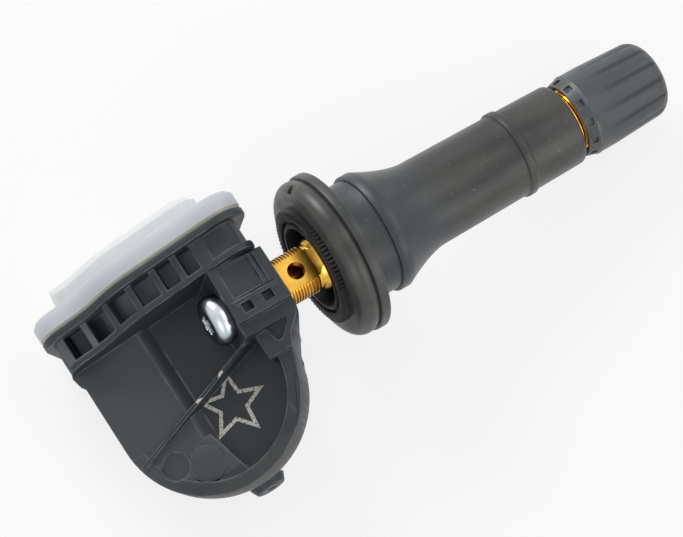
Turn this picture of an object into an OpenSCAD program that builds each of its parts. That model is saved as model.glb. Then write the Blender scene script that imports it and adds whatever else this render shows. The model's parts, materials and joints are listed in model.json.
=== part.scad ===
// Tyre pressure sensor on a snap-in rubber valve.
// The valve axis is +X, the lid faces +Y and the open tray of the case faces +Z.
// The origin lies on the valve axis, in the face that seats on the wheel rim.

/* [Rubber valve] */
// Radius of the flange that seats inside the rim
flange_r = 9.6; // [9.2:0.1:11]
// Thickness of the flange without its toothed collar
flange_t = 3.6; // [3.2:0.1:4.6]
// Width of the plain outer ring of the flange
edge_w = 1.2; // [0.8:0.1:1.6]
// Depth of the groove between the ring and the bead
groove_d = 0.5; // [0.2:0.1:0.8]
// Rounding radius of the bead on the flange
bead_round = 1.5; // [1:0.1:1.8]
// Outer radius of the toothed collar round the recess
collar_r = 7.0; // [6.2:0.1:7.4]
// Height of the toothed collar
collar_h = 0.7; // [0.4:0.1:1.2]
// Number of teeth round the collar
collar_teeth = 84; // [48:2:100]
// Radius of the recess round the brass stem
recess_r = 4.8; // [4.2:0.1:5.4]
// Depth of the recess round the brass stem
recess_d = 4.2; // [2:0.1:5]
// Radius of the neck that the rim hole squeezes
neck_r = 6.7; // [6:0.1:7.2]
// Length of the neck, which takes the thickness of the rim
neck_l = 3.3; // [2.4:0.1:4.5]
// Radius of the bulb that snaps through the rim hole
bulb_r = 7.1; // [6.8:0.1:7.8]
// Length of the straight part of the bulb
bulb_l = 1.3; // [0.6:0.1:2.5]
// Length of the cone from the bulb to the body
cone_l = 5.8; // [4:0.1:8]
// Radius of the rubber body next to the cone
body_r = 5.1; // [4.9:0.1:5.6]
// Radius of the rubber body at its outer end
tip_r = 4.85; // [4.6:0.05:5.2]
// Distance from the rim seat to the outer end of the rubber
rubber_l = 29.8; // [26:0.1:36]
// Distance from the outer end of the rubber back to the raised ring
ring_back = 7.9; // [4:0.1:12]
// Width of the raised ring
ring_w = 1.2; // [0.6:0.1:2]
// Height of the raised ring
ring_h = 0.25; // [0.1:0.05:0.5]

/* [Brass stem] */
// Radius of the stem shank between the flats
shank_r = 2.8; // [2.5:0.05:3]
// Distance from the axis to each flat
flat_h = 2.1; // [1.8:0.05:2.3]
// Radius of the stem where the rubber is bonded to it
bond_r = 3.15; // [3.05:0.05:3.6]
// Outer radius of the valve thread
thread_r = 3.87; // [3.7:0.01:4]
// Pitch of the valve thread
thread_pitch = 0.794; // [0.6:0.001:1]
// Depth of the valve thread
thread_d = 0.35; // [0.2:0.01:0.45]
// Length of the valve thread
thread_l = 12.1; // [10:0.1:13]
// Brass that shows between the rubber and the cap
cap_gap = 0.55; // [0.2:0.05:2]
// Pitch of the ridges on the shank
ridge_pitch = 0.36; // [0.3:0.02:0.6]
// Height of the ridges on the shank
ridge_h = 0.14; // [0.05:0.01:0.2]
// Radius of the air hole across the shank
cross_hole_r = 1.0; // [0.6:0.1:1.2]
// Distance from the flange collar to the air hole
cross_hole_out = 2.2; // [1.6:0.1:3]
// Radius of the air passage along the stem
passage_r = 1.2; // [0.8:0.1:1.3]

/* [Valve core] */
// Radius of the core chamber at the mouth of the stem
chamber_r = 2.62; // [2.5:0.01:2.8]
// Radius of the core chamber below its taper
low_chamber_r = 2.05; // [1.95:0.05:2.2]
// Length of the threaded head of the core
core_head_l = 6.0; // [4:0.1:6.5]
// Length of the core barrel below the head
core_barrel_l = 8.6; // [7.5:0.1:9.5]
// Radius of the core barrel
core_barrel_r = 1.6; // [1.5:0.05:1.7]
// Radius of the bore in the core
core_bore_r = 1.2; // [1.15:0.05:1.3]
// Distance of the core head below the mouth of the stem
core_sunk = 0.8; // [0.4:0.1:1.5]
// Radius of the core pin
pin_r = 0.55; // [0.4:0.05:0.6]
// Distance of the pin tip below the mouth of the stem
pin_sunk = 0.25; // [0.1:0.05:0.6]
// Travel of the core pin
pin_travel = 1.2; // [0.8:0.1:1.5]
// Wire diameter of the core spring
wire_d = 0.22; // [0.15:0.01:0.25]
// Number of turns of the core spring
spring_turns = 7; // [5:1:8]

/* [Cap] */
// Largest radius of the cap
cap_r = 4.86; // [4.6:0.02:5.2]
// Radius of the cap at its open end
cap_mouth_r = 4.45; // [4.35:0.05:4.6]
// Length of the cap
cap_l = 11.65; // [11.4:0.05:13.5]
// Thickness of the closed end of the cap
cap_end_t = 1.4; // [1:0.1:1.6]
// Rounding radius of the closed end
cap_round = 1.9; // [1:0.1:2.2]
// Number of flutes round the cap
flutes = 14; // [10:1:18]
// Depth of the flutes at the closed end
flute_d = 0.34; // [0.1:0.02:0.4]
// Number of notches round the open end
notches = 12; // [8:1:16]
// Length of the notched band
notch_band = 1.35; // [0.8:0.05:2]
// Thickness of the seal in the cap
cap_seal_t = 0.55; // [0.3:0.05:0.8]

/* [Case] */
// Angle between the valve axis and the floor of the tray
tilt = 22; // [18:1:25]
// Distance from the rim seat to the middle of the case frame
pivot_in = 1.3; // [0.8:0.1:2]
// Distance from the case frame to the socket's end wall, along the valve axis
socket_in = 7.4; // [7:0.1:8]
// Distance from the case frame to the far end of the tray
tray_far = 30.7; // [30.4:0.1:33]
// Radius of the round end of the tray
round_r = 10.8; // [10:0.1:11]
// Height of the tray floor
floor_z = 2.0; // [1.6:0.1:2.4]
// Height of the raised plane of the tray
plane_z = 3.0; // [2.6:0.1:3.4]
// Height of the rim at the socket
rim_z = 4.9; // [4:0.1:5.5]
// Thickness of the rim round the tray
rim_t = 1.6; // [1.2:0.1:2]
// Depth of the case below its frame
base_z = 8; // [7.8:0.1:9.5]
// How much the base of the case narrows towards its underside
base_inset = 2.0; // [0.5:0.1:2.2]
// Wall thickness of the case
wall = 1.4; // [1.2:0.1:1.6]
// Height of the socket above the valve axis
socket_z = 3.3; // [3.2:0.1:3.6]
// Distance from the rim seat to the face that the screw clamps
clamp_in = 15.5; // [15.2:0.1:16]
// Thickness of the wall that the screw clamps
clamp_t = 1.2; // [1:0.1:1.5]

/* [Cup and lid] */
// Distance of the lid joint from the valve axis
joint_y = 9; // [8.6:0.1:10]
// Distance of the ledge of the cup from the valve axis
ledge_y = 4.45; // [4.2:0.05:4.8]
// Thickness of the ledge
ledge_t = 0.8; // [0.6:0.1:1.1]
// Thickness of the cup flange under the lid
lip_t = 0.9; // [0.6:0.1:1.2]
// How far the flange and the lid stand out from the cup
lip_out = 1.0; // [0.6:0.1:1.4]
// Distance from the case frame to the near end of the cup, along the valve axis
cup_in = 7.7; // [7.4:0.1:8.4]
// Distance of the cup's far end from the case frame
cup_far = 31.1; // [30.6:0.1:32]
// Height of the cup above the case frame
cup_top = 8.5; // [8:0.1:9.5]
// How much the cup steps down towards its far end
cup_step = 2.8; // [2:0.1:3.2]
// Depth of the pockets between the ribs
pocket_d = 1.8; // [1:0.1:2]
// Thickness of the ribs between the pockets
rib_t = 0.8; // [0.7:0.1:1.3]
// Thickness of the rim of the lid
lid_rim_t = 2.3; // [1.8:0.1:2.8]
// Height of the dome over the rim of the lid
dome_h = 2.5; // [2:0.1:3.2]
// Distance from the edge of the lid to the dome, at its near end
dome_in = 3.2; // [2.4:0.1:4]
// Wall thickness of the lid
lid_wall = 1.1; // [0.9:0.1:1.3]

/* [Circuit] */
// Thickness of the circuit board
board_t = 1.0; // [0.8:0.1:1.2]
// Height of the underside of the board, below the case frame
board_z = 5.2; // [5:0.1:5.4]
// Diameter of the coin cell
cell_d = 16; // [14:0.5:16]
// Thickness of the coin cell
cell_t = 3.2; // [2.5:0.1:3.4]
// Length of the pressure chip, square to the valve axis
chip_l = 3.4; // [2.8:0.1:4]
// Length of the seal between the pressure chip and its port
port_l = 1.6; // [1:0.1:2.5]
// Distance between the lid joint and the coin cell
cell_back = 2.2; // [1.8:0.1:2.4]
// Distance between the coin cell and the pressure chip
cell_gap = 1.2; // [0.6:0.1:1.6]
// Length of the board towards the lid, from the valve axis
board_y = 10.0; // [9.6:0.1:10.1]

/* [Screw] */
// Radius of the screw head
head_r = 2.95; // [2.6:0.05:3]
// Thickness of the screw head
head_t = 2.2; // [1.5:0.1:2.4]
// Radius of the screw shank
screw_r = 1.5; // [1.3:0.05:1.6]
// Length of the screw below its head
screw_l = 7.4; // [6:0.1:7.6]

/* [Fits] */
// Running clearance between round faces
run_gap = 0.06; // [0.03:0.01:0.09]
// Clearance between flat faces that meet in use
face_gap = 0.03; // [0.02:0.01:0.06]
// Clearance of loosely fitted pieces
loose_gap = 0.1; // [0.06:0.01:0.15]

/* [Hidden] */
$fn = 72;
far = 60;
eps = 0.02;

// Points along the valve, all measured from the rim seat
face_x = -flange_t - collar_h;
cap_x = rubber_l + cap_gap;
cap_tip = cap_x + cap_l;
cap_inside = cap_tip - cap_end_t;
stem_tip = cap_inside - cap_seal_t - face_gap;
thread_x = stem_tip - thread_l;
stem_end = -clamp_in + clamp_t + loose_gap;
cross_x = face_x - cross_hole_out;
shoulder_x = face_x + collar_h;
core_top = stem_tip - core_sunk;
core_neck = core_top - core_head_l;
core_low = core_neck - core_barrel_l;
plunger_t = 1.3;
plunger_r = core_barrel_r;
cup_below = plunger_t + 0.6 + pin_travel;
chamber_floor = core_low - cup_below - 0.6;
ledge_in = 0.8;
spring_foot = core_low + ledge_in;
collar_t = 0.8;
spring_l = 4.6;
collar_low = spring_foot + spring_l;

// Frame of the case: its X runs along the tray floor towards the valve
round_x = -tray_far + round_r;
cell_z = -board_z + board_t + 0.3;
cell_y = joint_y - cell_back - cell_d / 2;
chip_in_y = cell_y - cell_d / 2 - cell_gap;
chip_out_y = chip_in_y - chip_l;
// The round end of the tray makes room for the cell, the chip and its port
round_out = port_l + wall - chip_out_y - round_r;
port_x = round_x - 0.2;
port_z = -board_z + board_t + 1.1;
tray_in_x = -11.3;
plane_x = -22.0;
panel_far = -13.1;
panel_near = -9.4;
socket_wall = 1.0;
ramp_w = 1.4;
web_a = 340;
mark_y = -round_out - 6;
port_out = 1.05;
head_round = 1.15;
board_top = -board_z + board_t;
board_end_r = round_r - wall - 1.2;
board_near = -12.6;
board_round = 5;
tab_top = cell_z + cell_t;
tab_x = round_x - 2.4;
tab_y = cell_y + cell_d / 2 + 0.5;
antenna_far = 5.5 - cup_far;
antenna_near = board_near - 1.1;
antenna_low = floor_z - 1;
antenna_high = cup_top - pocket_d - 3.1;
wire_w = 0.6;
coil_x = 8.1 - cup_far;
coil_turns = 9;
turn_w = 0.6;
wound_r = 0.95;
cheek_t = 0.8;
cheek_w = 2.6;

function unit(v) = v / norm(v);
function arc(c, r, a0, a1, n) = [for (i = [0:n]) let (a = a0 + (a1 - a0) * i / n) c + r * [cos(a), sin(a)]];
function turn(a) = a > 180 ? a - 360 : (a < -180 ? a + 360 : a);
function corner(a, p, b, r, n) = let (
        ua = unit(a - p),
        ub = unit(b - p),
        half = acos(ua * ub) / 2,
        c = p + unit(ua + ub) * r / sin(half),
        s = p + ua * r / tan(half) - c,
        e = p + ub * r / tan(half) - c,
        a0 = atan2(s[1], s[0]),
        da = turn(atan2(e[1], e[0]) - a0)
    ) arc(c, r, a0, a0 + da, n);
function flat2(p) = [p[0], p[1]];
// Outline through points [x, y, radius], with each corner rounded to its radius
function rounded(pts, n = 6) = [for (i = [0:len(pts) - 1])
    let (p = pts[i], a = pts[(i + len(pts) - 1) % len(pts)], b = pts[(i + 1) % len(pts)])
    each p[2] > 0 ? corner(flat2(a), flat2(p), flat2(b), p[2], n) : [flat2(p)]];

// Place at height z on a line square to the valve axis, a distance d in from the case frame
function square_at(d, z) = (z * sin(tilt) - d) / cos(tilt);
// Outline seen from the lid. Its near end is square to the valve axis and its far end steps down
function end_outline(near, far_x, top, low, r) = rounded([
    [square_at(near, low), low, r[0]],
    [square_at(near, top), top, r[1]],
    [-21.5, top, 8],
    [-26, top - cup_step, 8],
    [far_x, top - cup_step, r[2]],
    [far_x, low, r[2]]]);
// Outline of the cup grown by e
function cup_outline(e) = end_outline(cup_in - e, -cup_far - e, cup_top + e, -base_z - e,
    [3 + e, 2.6 + e, 2.4 + e]);
// Outline of the cavity in the cup grown by e
function mouth_outline(e) = end_outline(cup_in + wall - e, -cup_far + wall - e, cup_top - pocket_d - wall + e,
    -base_z + wall - e, [2 + e, 1.6 + e, 1.2 + e]);
// Outline of the dome on the lid grown by e
function dome_outline(e) = end_outline(cup_in - lip_out + dome_in - e, -cup_far + 2.5 - e, cup_top - 1.5 + e,
    -base_z + 1.3 - e, [3 + e, 2.6 + e, 1.6 + e]);
// Outline of the tray and the socket, seen from above
tray_outline = concat(
    [[-tray_far, ledge_y + eps]],
    arc([round_x, -round_out], round_r, 180, web_a - 2, 40),
    rounded([[round_x + round_r * cos(web_a), -round_out + round_r * sin(web_a), 0],
        [-9.0, -7.4, 1], [-7.8, -5.4, 1.2], [-6.3, -4.2, 1], [-5.4, -2.2, 0.8], [-4, 0, 0],
        [-4, ledge_y - 0.4, 0], [-9.5, ledge_y + eps, 0]], 4));
// The same outline carried on under the cup, for the base that narrows
base_outline = concat([[-tray_far, ledge_y + 1.6]], tray_outline, [[-9.5, ledge_y + 1.6]]);
// Outline of the tray inside its rim
tray_inside = concat(
    [[tray_in_x, ledge_y + 2]],
    arc([round_x, -round_out], round_r - rim_t, 0, -172, 36),
    [[-tray_far - 2, -round_out - 1], [-tray_far - 2, ledge_y + 2]]);

module along_x() {
    rotate([0, 90, 0]) children();
}
// A ring or disc on the valve axis from x0 to x1
module disc(r, x0, x1) {
    translate([x0, 0, 0]) along_x() cylinder(r = r, h = x1 - x0);
}
module turned(pts) {
    along_x() rotate_extrude() polygon(pts);
}
module case_frame() {
    translate([-pivot_in, 0, 0]) rotate([0, -tilt, 0]) children();
}
module box(lo, hi) {
    translate(lo) cube(hi - lo);
}
// A plan outline in the case frame, raised from z0 to z1
module raised(pts, z0, z1) {
    translate([0, 0, z0]) linear_extrude(height = z1 - z0) polygon(pts);
}
// An outline seen from the lid, run from y0 to y1
module run_y(pts, y0, y1) {
    translate([0, y1, 0]) rotate([90, 0, 0]) linear_extrude(height = y1 - y0) polygon(pts);
}

// Rubber valve
cone_x = neck_l + bulb_l;
function cone_at(t) = [body_r + (bulb_r - body_r) * pow(1 - t, 1.5), cone_x + cone_l * t];
function body_at(x) = body_r + (tip_r - body_r) * (x - cone_x - cone_l) / (rubber_l - cone_x - cone_l);
ring_x = rubber_l - ring_back;
bead_r = flange_r - 0.15;
rubber_pts = concat(
    [[recess_r, face_x], [recess_r + 0.5, face_x], [recess_r + 0.5, face_x + 0.35],
        [recess_r + 0.9, face_x + 0.35], [recess_r + 0.9, face_x],
        [collar_r - 0.45, face_x], [collar_r - 0.45, -flange_t]],
    arc([bead_r - bead_round, bead_round - flange_t], bead_round, -90, 42, 12),
    [[flange_r - groove_d, -edge_w - 0.15], [flange_r - groove_d, -edge_w],
        [flange_r - 0.1, -edge_w], [flange_r, -edge_w + 0.1], [flange_r, -0.15], [flange_r - 0.15, 0]],
    arc([neck_r + 0.3, 0.3], 0.3, 270, 180, 3),
    [[neck_r, neck_l], [bulb_r - 0.12, neck_l], [bulb_r, neck_l + 0.15]],
    [for (i = [0:8]) cone_at(i / 8)],
    [[body_at(ring_x), ring_x], [body_at(ring_x) + ring_h, ring_x + 0.1],
        [body_at(ring_x) + ring_h, ring_x + ring_w - 0.25], [body_at(ring_x), ring_x + ring_w]],
    arc([tip_r - 0.5, rubber_l - 0.5], 0.5, 0, 90, 5),
    [[thread_r, rubber_l], [thread_r, thread_x], [bond_r, thread_x],
        [bond_r, face_x + recess_d], [recess_r - 0.4, face_x + recess_d],
        [recess_r, face_x + recess_d - 0.4]]);
collar_pts = [for (i = [0:2 * collar_teeth - 1]) (collar_r - (i % 2) * 0.32)
    * [cos(180 * i / collar_teeth), sin(180 * i / collar_teeth)]];
module collar_ring() {
    translate([face_x, 0, 0]) along_x() difference() {
        linear_extrude(height = collar_h + 0.3) polygon(collar_pts);
        translate([0, 0, -1]) cylinder(r = collar_r - 0.75, h = collar_h + 3);
    }
}
module valve_rubber() {
    color([0.13, 0.13, 0.12]) difference() {
        union() {
            turned(rubber_pts);
            collar_ring();
        }
        rotate([36, 0, 0]) translate([-flange_t + 0.55, bead_r - 0.25, 0]) rotate([0, 0, 20])
            linear_extrude(height = 1.1, center = true) circle(r = 0.75, $fn = 3);
    }
}

// Brass stem
ridges = floor((shoulder_x - 0.6 - stem_end - 0.4) / ridge_pitch);
ridge_pts = [for (i = [0:ridges - 1]) each [[shank_r, stem_end + 0.4 + i * ridge_pitch],
    [shank_r, stem_end + 0.4 + (i + 0.4) * ridge_pitch],
    [shank_r - ridge_h, stem_end + 0.4 + (i + 0.7) * ridge_pitch]]];
threads = floor((stem_tip - 1.2 - thread_x - 0.4) / thread_pitch);
thread_pts = [for (i = [0:threads - 1]) each [[thread_r, thread_x + 0.6 + i * thread_pitch],
    [thread_r - thread_d, thread_x + 0.6 + (i + 0.35) * thread_pitch],
    [thread_r - thread_d, thread_x + 0.6 + (i + 0.45) * thread_pitch],
    [thread_r, thread_x + 0.6 + (i + 0.8) * thread_pitch]]];
// The thread only shows beyond the rubber
open_thread_pts = [for (p = thread_pts) if (p[1] > rubber_l + 0.05) p];
stem_pts = concat(
    [[0, stem_end], [shank_r - 0.4, stem_end], [shank_r, stem_end + 0.35]],
    ridge_pts,
    [[shank_r, shoulder_x - 0.5], [bond_r, shoulder_x], [bond_r, thread_x], [thread_r, thread_x]],
    open_thread_pts,
    [[thread_r, stem_tip - 0.5], [thread_r - 0.5, stem_tip], [0, stem_tip]]);
bore_pts = [[0, stem_end - 1], [screw_r + run_gap, stem_end - 1],
    [screw_r + run_gap, -clamp_in + screw_l + 0.3], [passage_r, -clamp_in + screw_l + 0.6],
    [passage_r, chamber_floor], [low_chamber_r, chamber_floor + 0.6],
    [low_chamber_r, core_neck - 2.2], [chamber_r, core_neck - 0.6], [chamber_r, stem_tip - 0.3],
    [chamber_r + 0.3, stem_tip + eps], [0, stem_tip + eps]];
module flat_cut(side) {
    translate([stem_end - 1, 0, 0]) rotate([90, 0, 0]) linear_extrude(height = far, center = true)
        polygon([[0, side * flat_h], [shoulder_x - stem_end + 0.2, side * flat_h],
            [shoulder_x - stem_end + 1.2, side * (bond_r + 0.1)],
            [shoulder_x - stem_end + 1.2, side * far / 4], [0, side * far / 4]]);
}
module valve_stem() {
    color([0.83, 0.6, 0.22]) difference() {
        turned(stem_pts);
        turned(bore_pts);
        flat_cut(1);
        flat_cut(-1);
        translate([cross_x, 0, 0]) cylinder(r = cross_hole_r, h = far);
    }
}

// Valve core
core_pts = [[core_bore_r, core_low + ledge_in], [pin_r + 0.12, core_low + ledge_in], [pin_r + 0.12, core_low],
    [core_barrel_r, core_low], [core_barrel_r, core_neck], [chamber_r - run_gap, core_neck],
    [chamber_r - run_gap, core_top - 2.4], [chamber_r - 0.5, core_top - 2], [chamber_r - 0.5, core_top],
    [core_bore_r, core_top]];
module core_barrel() {
    color([0.8, 0.62, 0.3]) difference() {
        turned(core_pts);
        for (side = [-1, 1])
            translate([core_top - 2, side * (chamber_r - 0.4) - 1, -far / 2]) cube([3, 2, far]);
    }
}
module core_gasket() {
    color([0.75, 0.15, 0.12]) turned([[core_barrel_r, core_neck - 3.2],
        [low_chamber_r - loose_gap, core_neck - 3.2],
        [low_chamber_r - loose_gap, core_neck - 2.2], [chamber_r - loose_gap, core_neck - 0.6],
        [chamber_r - loose_gap, core_neck], [core_barrel_r, core_neck]]);
}
module core_pin() {
    color([0.85, 0.7, 0.4]) turned([[0, core_low - plunger_t - 0.6],
        [pin_r + 0.35, core_low - plunger_t - 0.6],
        [pin_r + 0.5, core_low - plunger_t - 0.3], [pin_r + 0.5, core_low - plunger_t - face_gap],
        [pin_r, core_low - plunger_t - face_gap], [pin_r, collar_low], [core_bore_r - run_gap, collar_low],
        [core_bore_r - run_gap, collar_low + collar_t], [pin_r, collar_low + collar_t + 0.4],
        [pin_r, stem_tip - pin_sunk - 0.2], [pin_r - 0.2, stem_tip - pin_sunk], [0, stem_tip - pin_sunk]]);
}
module core_plunger_seal() {
    color([0.12, 0.12, 0.13]) turned([[pin_r, core_low - plunger_t - face_gap],
        [plunger_r - 0.2, core_low - plunger_t - face_gap], [plunger_r, core_low - plunger_t + 0.3],
        [plunger_r, core_low - face_gap], [pin_r, core_low - face_gap]]);
}
// Points and faces of the spring wire, swept along its coil
spring_r = (pin_r + core_bore_r) / 2;
wire_sides = 6;
wire_steps = 12 * spring_turns;
spring_rise = spring_l - wire_d - 2 * face_gap;
function wire_at(i, k) = let (
        a = 30 * i,
        b = 360 * k / wire_sides,
        x = spring_foot + face_gap + wire_d / 2 + spring_rise * i / wire_steps,
        r = spring_r + wire_d / 2 * cos(b)
    ) [x + wire_d / 2 * sin(b), r * cos(a), r * sin(a)];
wire_points = [for (i = [0:wire_steps]) for (k = [0:wire_sides - 1]) wire_at(i, k)];
wire_faces = concat(
    [[for (k = [0:wire_sides - 1]) k]],
    [for (i = [0:wire_steps - 1]) for (k = [0:wire_sides - 1])
        [i * wire_sides + k, (i + 1) * wire_sides + k, (i + 1) * wire_sides + (k + 1) % wire_sides,
            i * wire_sides + (k + 1) % wire_sides]],
    [[for (k = [wire_sides - 1:-1:0]) wire_steps * wire_sides + k]]);
module core_spring() {
    color([0.75, 0.76, 0.78]) polyhedron(points = wire_points, faces = wire_faces);
}

// Cap
flute_r = 1.5;
flute_x = cap_x + notch_band + 2.5;
flute_slope = atan(flute_d / (cap_tip - flute_x)) + 1.2;
cap_bore_r = thread_r + run_gap;
cap_pts = concat(
    [[cap_bore_r + 0.15, cap_x], [cap_mouth_r, cap_x], [cap_r - 0.06, cap_x + notch_band],
        [cap_r + 0.05, cap_x + notch_band + 0.1], [cap_r + 0.05, cap_x + notch_band + 0.25],
        [cap_r, cap_x + notch_band + 0.4],
        [cap_r, flute_x], [cap_r - 0.26, cap_tip - cap_round]],
    arc([cap_r - 0.26 - cap_round, cap_tip - cap_round], cap_round, 0, 90, 8),
    [[0, cap_tip], [0, cap_inside], [cap_bore_r, cap_inside], [cap_bore_r, cap_x + 0.8]]);
module cap() {
    color([0.2, 0.21, 0.22]) difference() {
        turned(cap_pts);
        for (i = [0:flutes - 1]) rotate([360 * i / flutes, 0, 0]) translate([flute_x, 0, cap_r + flute_r])
            rotate([0, 90 + flute_slope, 0]) cylinder(r = flute_r, h = far / 2, $fn = 32);
        for (i = [0:notches - 1]) rotate([360 * i / notches, 0, 0])
            box([cap_x + 0.3, -0.45, cap_mouth_r - 0.12], [cap_x + notch_band - 0.25, 0.45, cap_r + 1]);
    }
}
module cap_seal() {
    color([0.1, 0.1, 0.1]) difference() {
        disc(thread_r - 0.1, cap_inside - cap_seal_t, cap_inside - face_gap);
        disc(chamber_r, cap_inside - cap_seal_t - 1, cap_inside + 1);
    }
}

// Case of the sensor
// Left ends of the pockets on the band, from the far end to the near one
pocket_ends = [-29.9, -26.7, -23.4, -20.1, -16.9, -14.2, -11.7];
module band_pockets() {
    difference() {
        intersection() {
            run_y(cup_outline(4), ledge_y + ledge_t, joint_y - lip_t);
            for (i = [0:len(pocket_ends) - 2])
                box([pocket_ends[i] + rib_t / 2, 0, plane_z],
                    [pocket_ends[i + 1] - rib_t / 2, joint_y, far / 2]);
        }
        run_y(cup_outline(-pocket_d), 0, joint_y);
    }
    difference() {
        intersection() {
            run_y(cup_outline(4), ledge_y + ledge_t, joint_y - lip_t);
            box([pocket_ends[6] + 1.3, 0, plane_z], [0, joint_y, far / 2]);
        }
        run_y(cup_outline(-0.45), 0, joint_y);
    }
}
module tray_body() {
    difference() {
        union() {
            drafted_base();
            raised(tray_outline, -eps, floor_z);
            difference() {
                raised(tray_outline, floor_z - 1, rim_z);
                raised(tray_inside, floor_z - 2, rim_z + 1);
            }
            difference() {
                raised(tray_outline, floor_z - 1, plane_z);
                run_y([[plane_x - ramp_w / 2, plane_z + 1], [plane_x - ramp_w / 2, plane_z],
                    [plane_x + ramp_w / 2, floor_z], [0, floor_z], [0, plane_z + 1]], -far / 2, far / 2);
            }
            intersection() {
                raised(tray_outline, floor_z - 1, plane_z);
                raised([[plane_x - ramp_w, mark_y + 2.6], [plane_x + 0.3, mark_y + 2.6],
                    [plane_x + 2.6, mark_y - 6], [plane_x - ramp_w, mark_y - 6]], floor_z - 1, plane_z);
            }
            translate([plane_x - 1.75, mark_y, 0]) cylinder(r = 2.1, h = plane_z + 0.15);
        }
        translate([-tray_far, 0, plane_z]) rotate([0, -atan((rim_z - plane_z) / (tray_far + tray_in_x)), 0])
            box([-5, -far, 0], [tray_far + tray_in_x - 1, ledge_y + 1, far / 4]);
    }
}
// Underside of the tray, which narrows downwards round its far and round ends
module drafted_base() {
    intersection() {
        raised(base_outline, -base_z, eps);
        union() {
            translate([round_x, -round_out, -base_z])
                cylinder(r1 = round_r - base_inset, r2 = round_r, h = base_z);
            run_y([[-tray_far, 0], [base_inset - tray_far, -base_z], [0, -base_z], [0, 0]],
                -round_out, ledge_y + 1.6);
        }
    }
}
// Everything past the end wall, which is square to the valve axis
module end_cut() {
    rotate([0, tilt, 0]) box([-socket_in, -far, -far], [far, ledge_y, far]);
}
// Block round the valve axis that holds the stem, square to that axis
module socket_block() {
    intersection() {
        translate([0, 0, floor_z - 3]) raised(tray_outline, 0, far / 4);
        rotate([0, tilt, 0]) union() {
            box([-clamp_in + pivot_in, -2.3, -far / 4], [0, ledge_y + 1, socket_z]);
            box([-clamp_in + pivot_in, -shank_r - socket_wall, -far / 4], [0, 0, flat_h + 0.3]);
            box([-clamp_in + pivot_in + 0.5, -0.5, 0], [panel_near + 1.4, 0.1, socket_z + 0.3]);
        }
    }
}
// Wall that bends from the socket to the rim, with a three-sided pocket in it
module web_block() {
    difference() {
        intersection() {
            raised(tray_outline, 0, rim_z + 0.6);
            box([tray_in_x - 0.3, -6.9, -1], [0, 0, far / 4]);
        }
        raised(rounded([[-10.4, -2.7, 0.2], [-7.5, -2.7, 0.4], [-7.5, -4.1, 0.8], [-9.6, -6.1, 0.5]], 3),
            plane_z - 0.5, far / 4);
    }
}
module long_rib() {
    floor_rib([-12.7, -3.6], [-30, -8.6], rim_z + 0.1, plane_z + 0.4, 0.5);
}
// Straight rib on the floor whose height runs from h0 to h1
module floor_rib(a, b, h0, h1, t) {
    l = norm(b - a);
    translate([a[0], a[1], 0]) rotate([90, 0, atan2(b[1] - a[1], b[0] - a[0])])
        linear_extrude(height = t, center = true)
            polygon([[0, floor_z - 0.5], [l, floor_z - 0.5], [l, h1], [0, h0]]);
}
// Rounded lobe under the far end of the ledge
module ledge_lobe() {
    raised(rounded([[-cup_far + 0.02, ledge_y + 0.3, 0], [-cup_far - 0.25, ledge_y - 0.2, 0.3],
        [-cup_far + 0.1, ledge_y - 1.7, 0.8], [1.2 - tray_far, ledge_y - 2.9, 0],
        [1.2 - tray_far, ledge_y + 0.3, 0]], 4), -2.5, plane_z);
}
module port_nub() {
    translate([port_x, -round_out - round_r + 0.6, port_z]) rotate([90, 0, 0]) {
        cylinder(r1 = 2.2, r2 = 1.7, h = port_out);
    }
}
// Square panel sunk into the socket, a groove beside it and two windows under its lower bar
module socket_detail() {
    rotate([0, tilt, 0]) {
        box([panel_far, 0.4, socket_z - 0.3], [panel_near, 4.1, socket_z + 1]);
        box([panel_near + 0.4, 0.2, socket_z - 0.4], [panel_near + 0.7, 4.1, socket_z + 1]);
        for (x = [panel_far + 0.2, panel_far + 2.8])
            box([x, -1.5, socket_z - 0.9], [x + 1.2, -0.5, socket_z + 1]);
    }
}
module stem_socket() {
    rotate([0, tilt, 0]) {
        intersection() {
            translate([pivot_in, 0, 0]) disc(shank_r + loose_gap, stem_end - loose_gap, 0);
            box([-clamp_in, -far / 4, -flat_h - loose_gap], [0, far / 4, flat_h + loose_gap]);
        }
        translate([pivot_in, 0, 0]) disc(screw_r + loose_gap, -clamp_in - 3, stem_end);
        translate([pivot_in, 0, 0]) disc(head_r + 0.35, -clamp_in - 6, -clamp_in);
    }
}
function board_plan(e) = concat(
    [[-cup_far + 3.4 - e, board_y]],
    [[-cup_far + 3.4 - e, joint_y - 2.4], [round_x - board_end_r - e, joint_y - 2.4]],
    arc([round_x, -round_out], board_end_r + e, 180, 270, 12),
    arc([board_near - board_round + e, -round_out - board_end_r - e + board_round], board_round, 270, 360, 8),
    [[board_near + e, joint_y - 2.4], [board_near - 1 + e, joint_y - 2.4], [board_near - 1 + e, board_y]]);
module case_hollow() {
    run_y(mouth_outline(0), ledge_y + wall, joint_y + 1);
    raised(board_plan(0.25), -board_z, floor_z - wall);
    translate([round_x, cell_y, board_top]) cylinder(d = cell_d + 0.6, h = floor_z - wall - board_top);
    intersection() {
        raised(board_plan(-1), -base_z + wall, floor_z - wall);
        box([-far, -far, -far], [far, joint_y + 1, far]);
    }
    translate([port_x, 0, port_z]) rotate([90, 0, 0]) cylinder(r = 1.7, h = round_out + round_r - wall);
    translate([port_x, 0, port_z]) rotate([90, 0, 0]) cylinder(r = 0.5, h = far);
}
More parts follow.
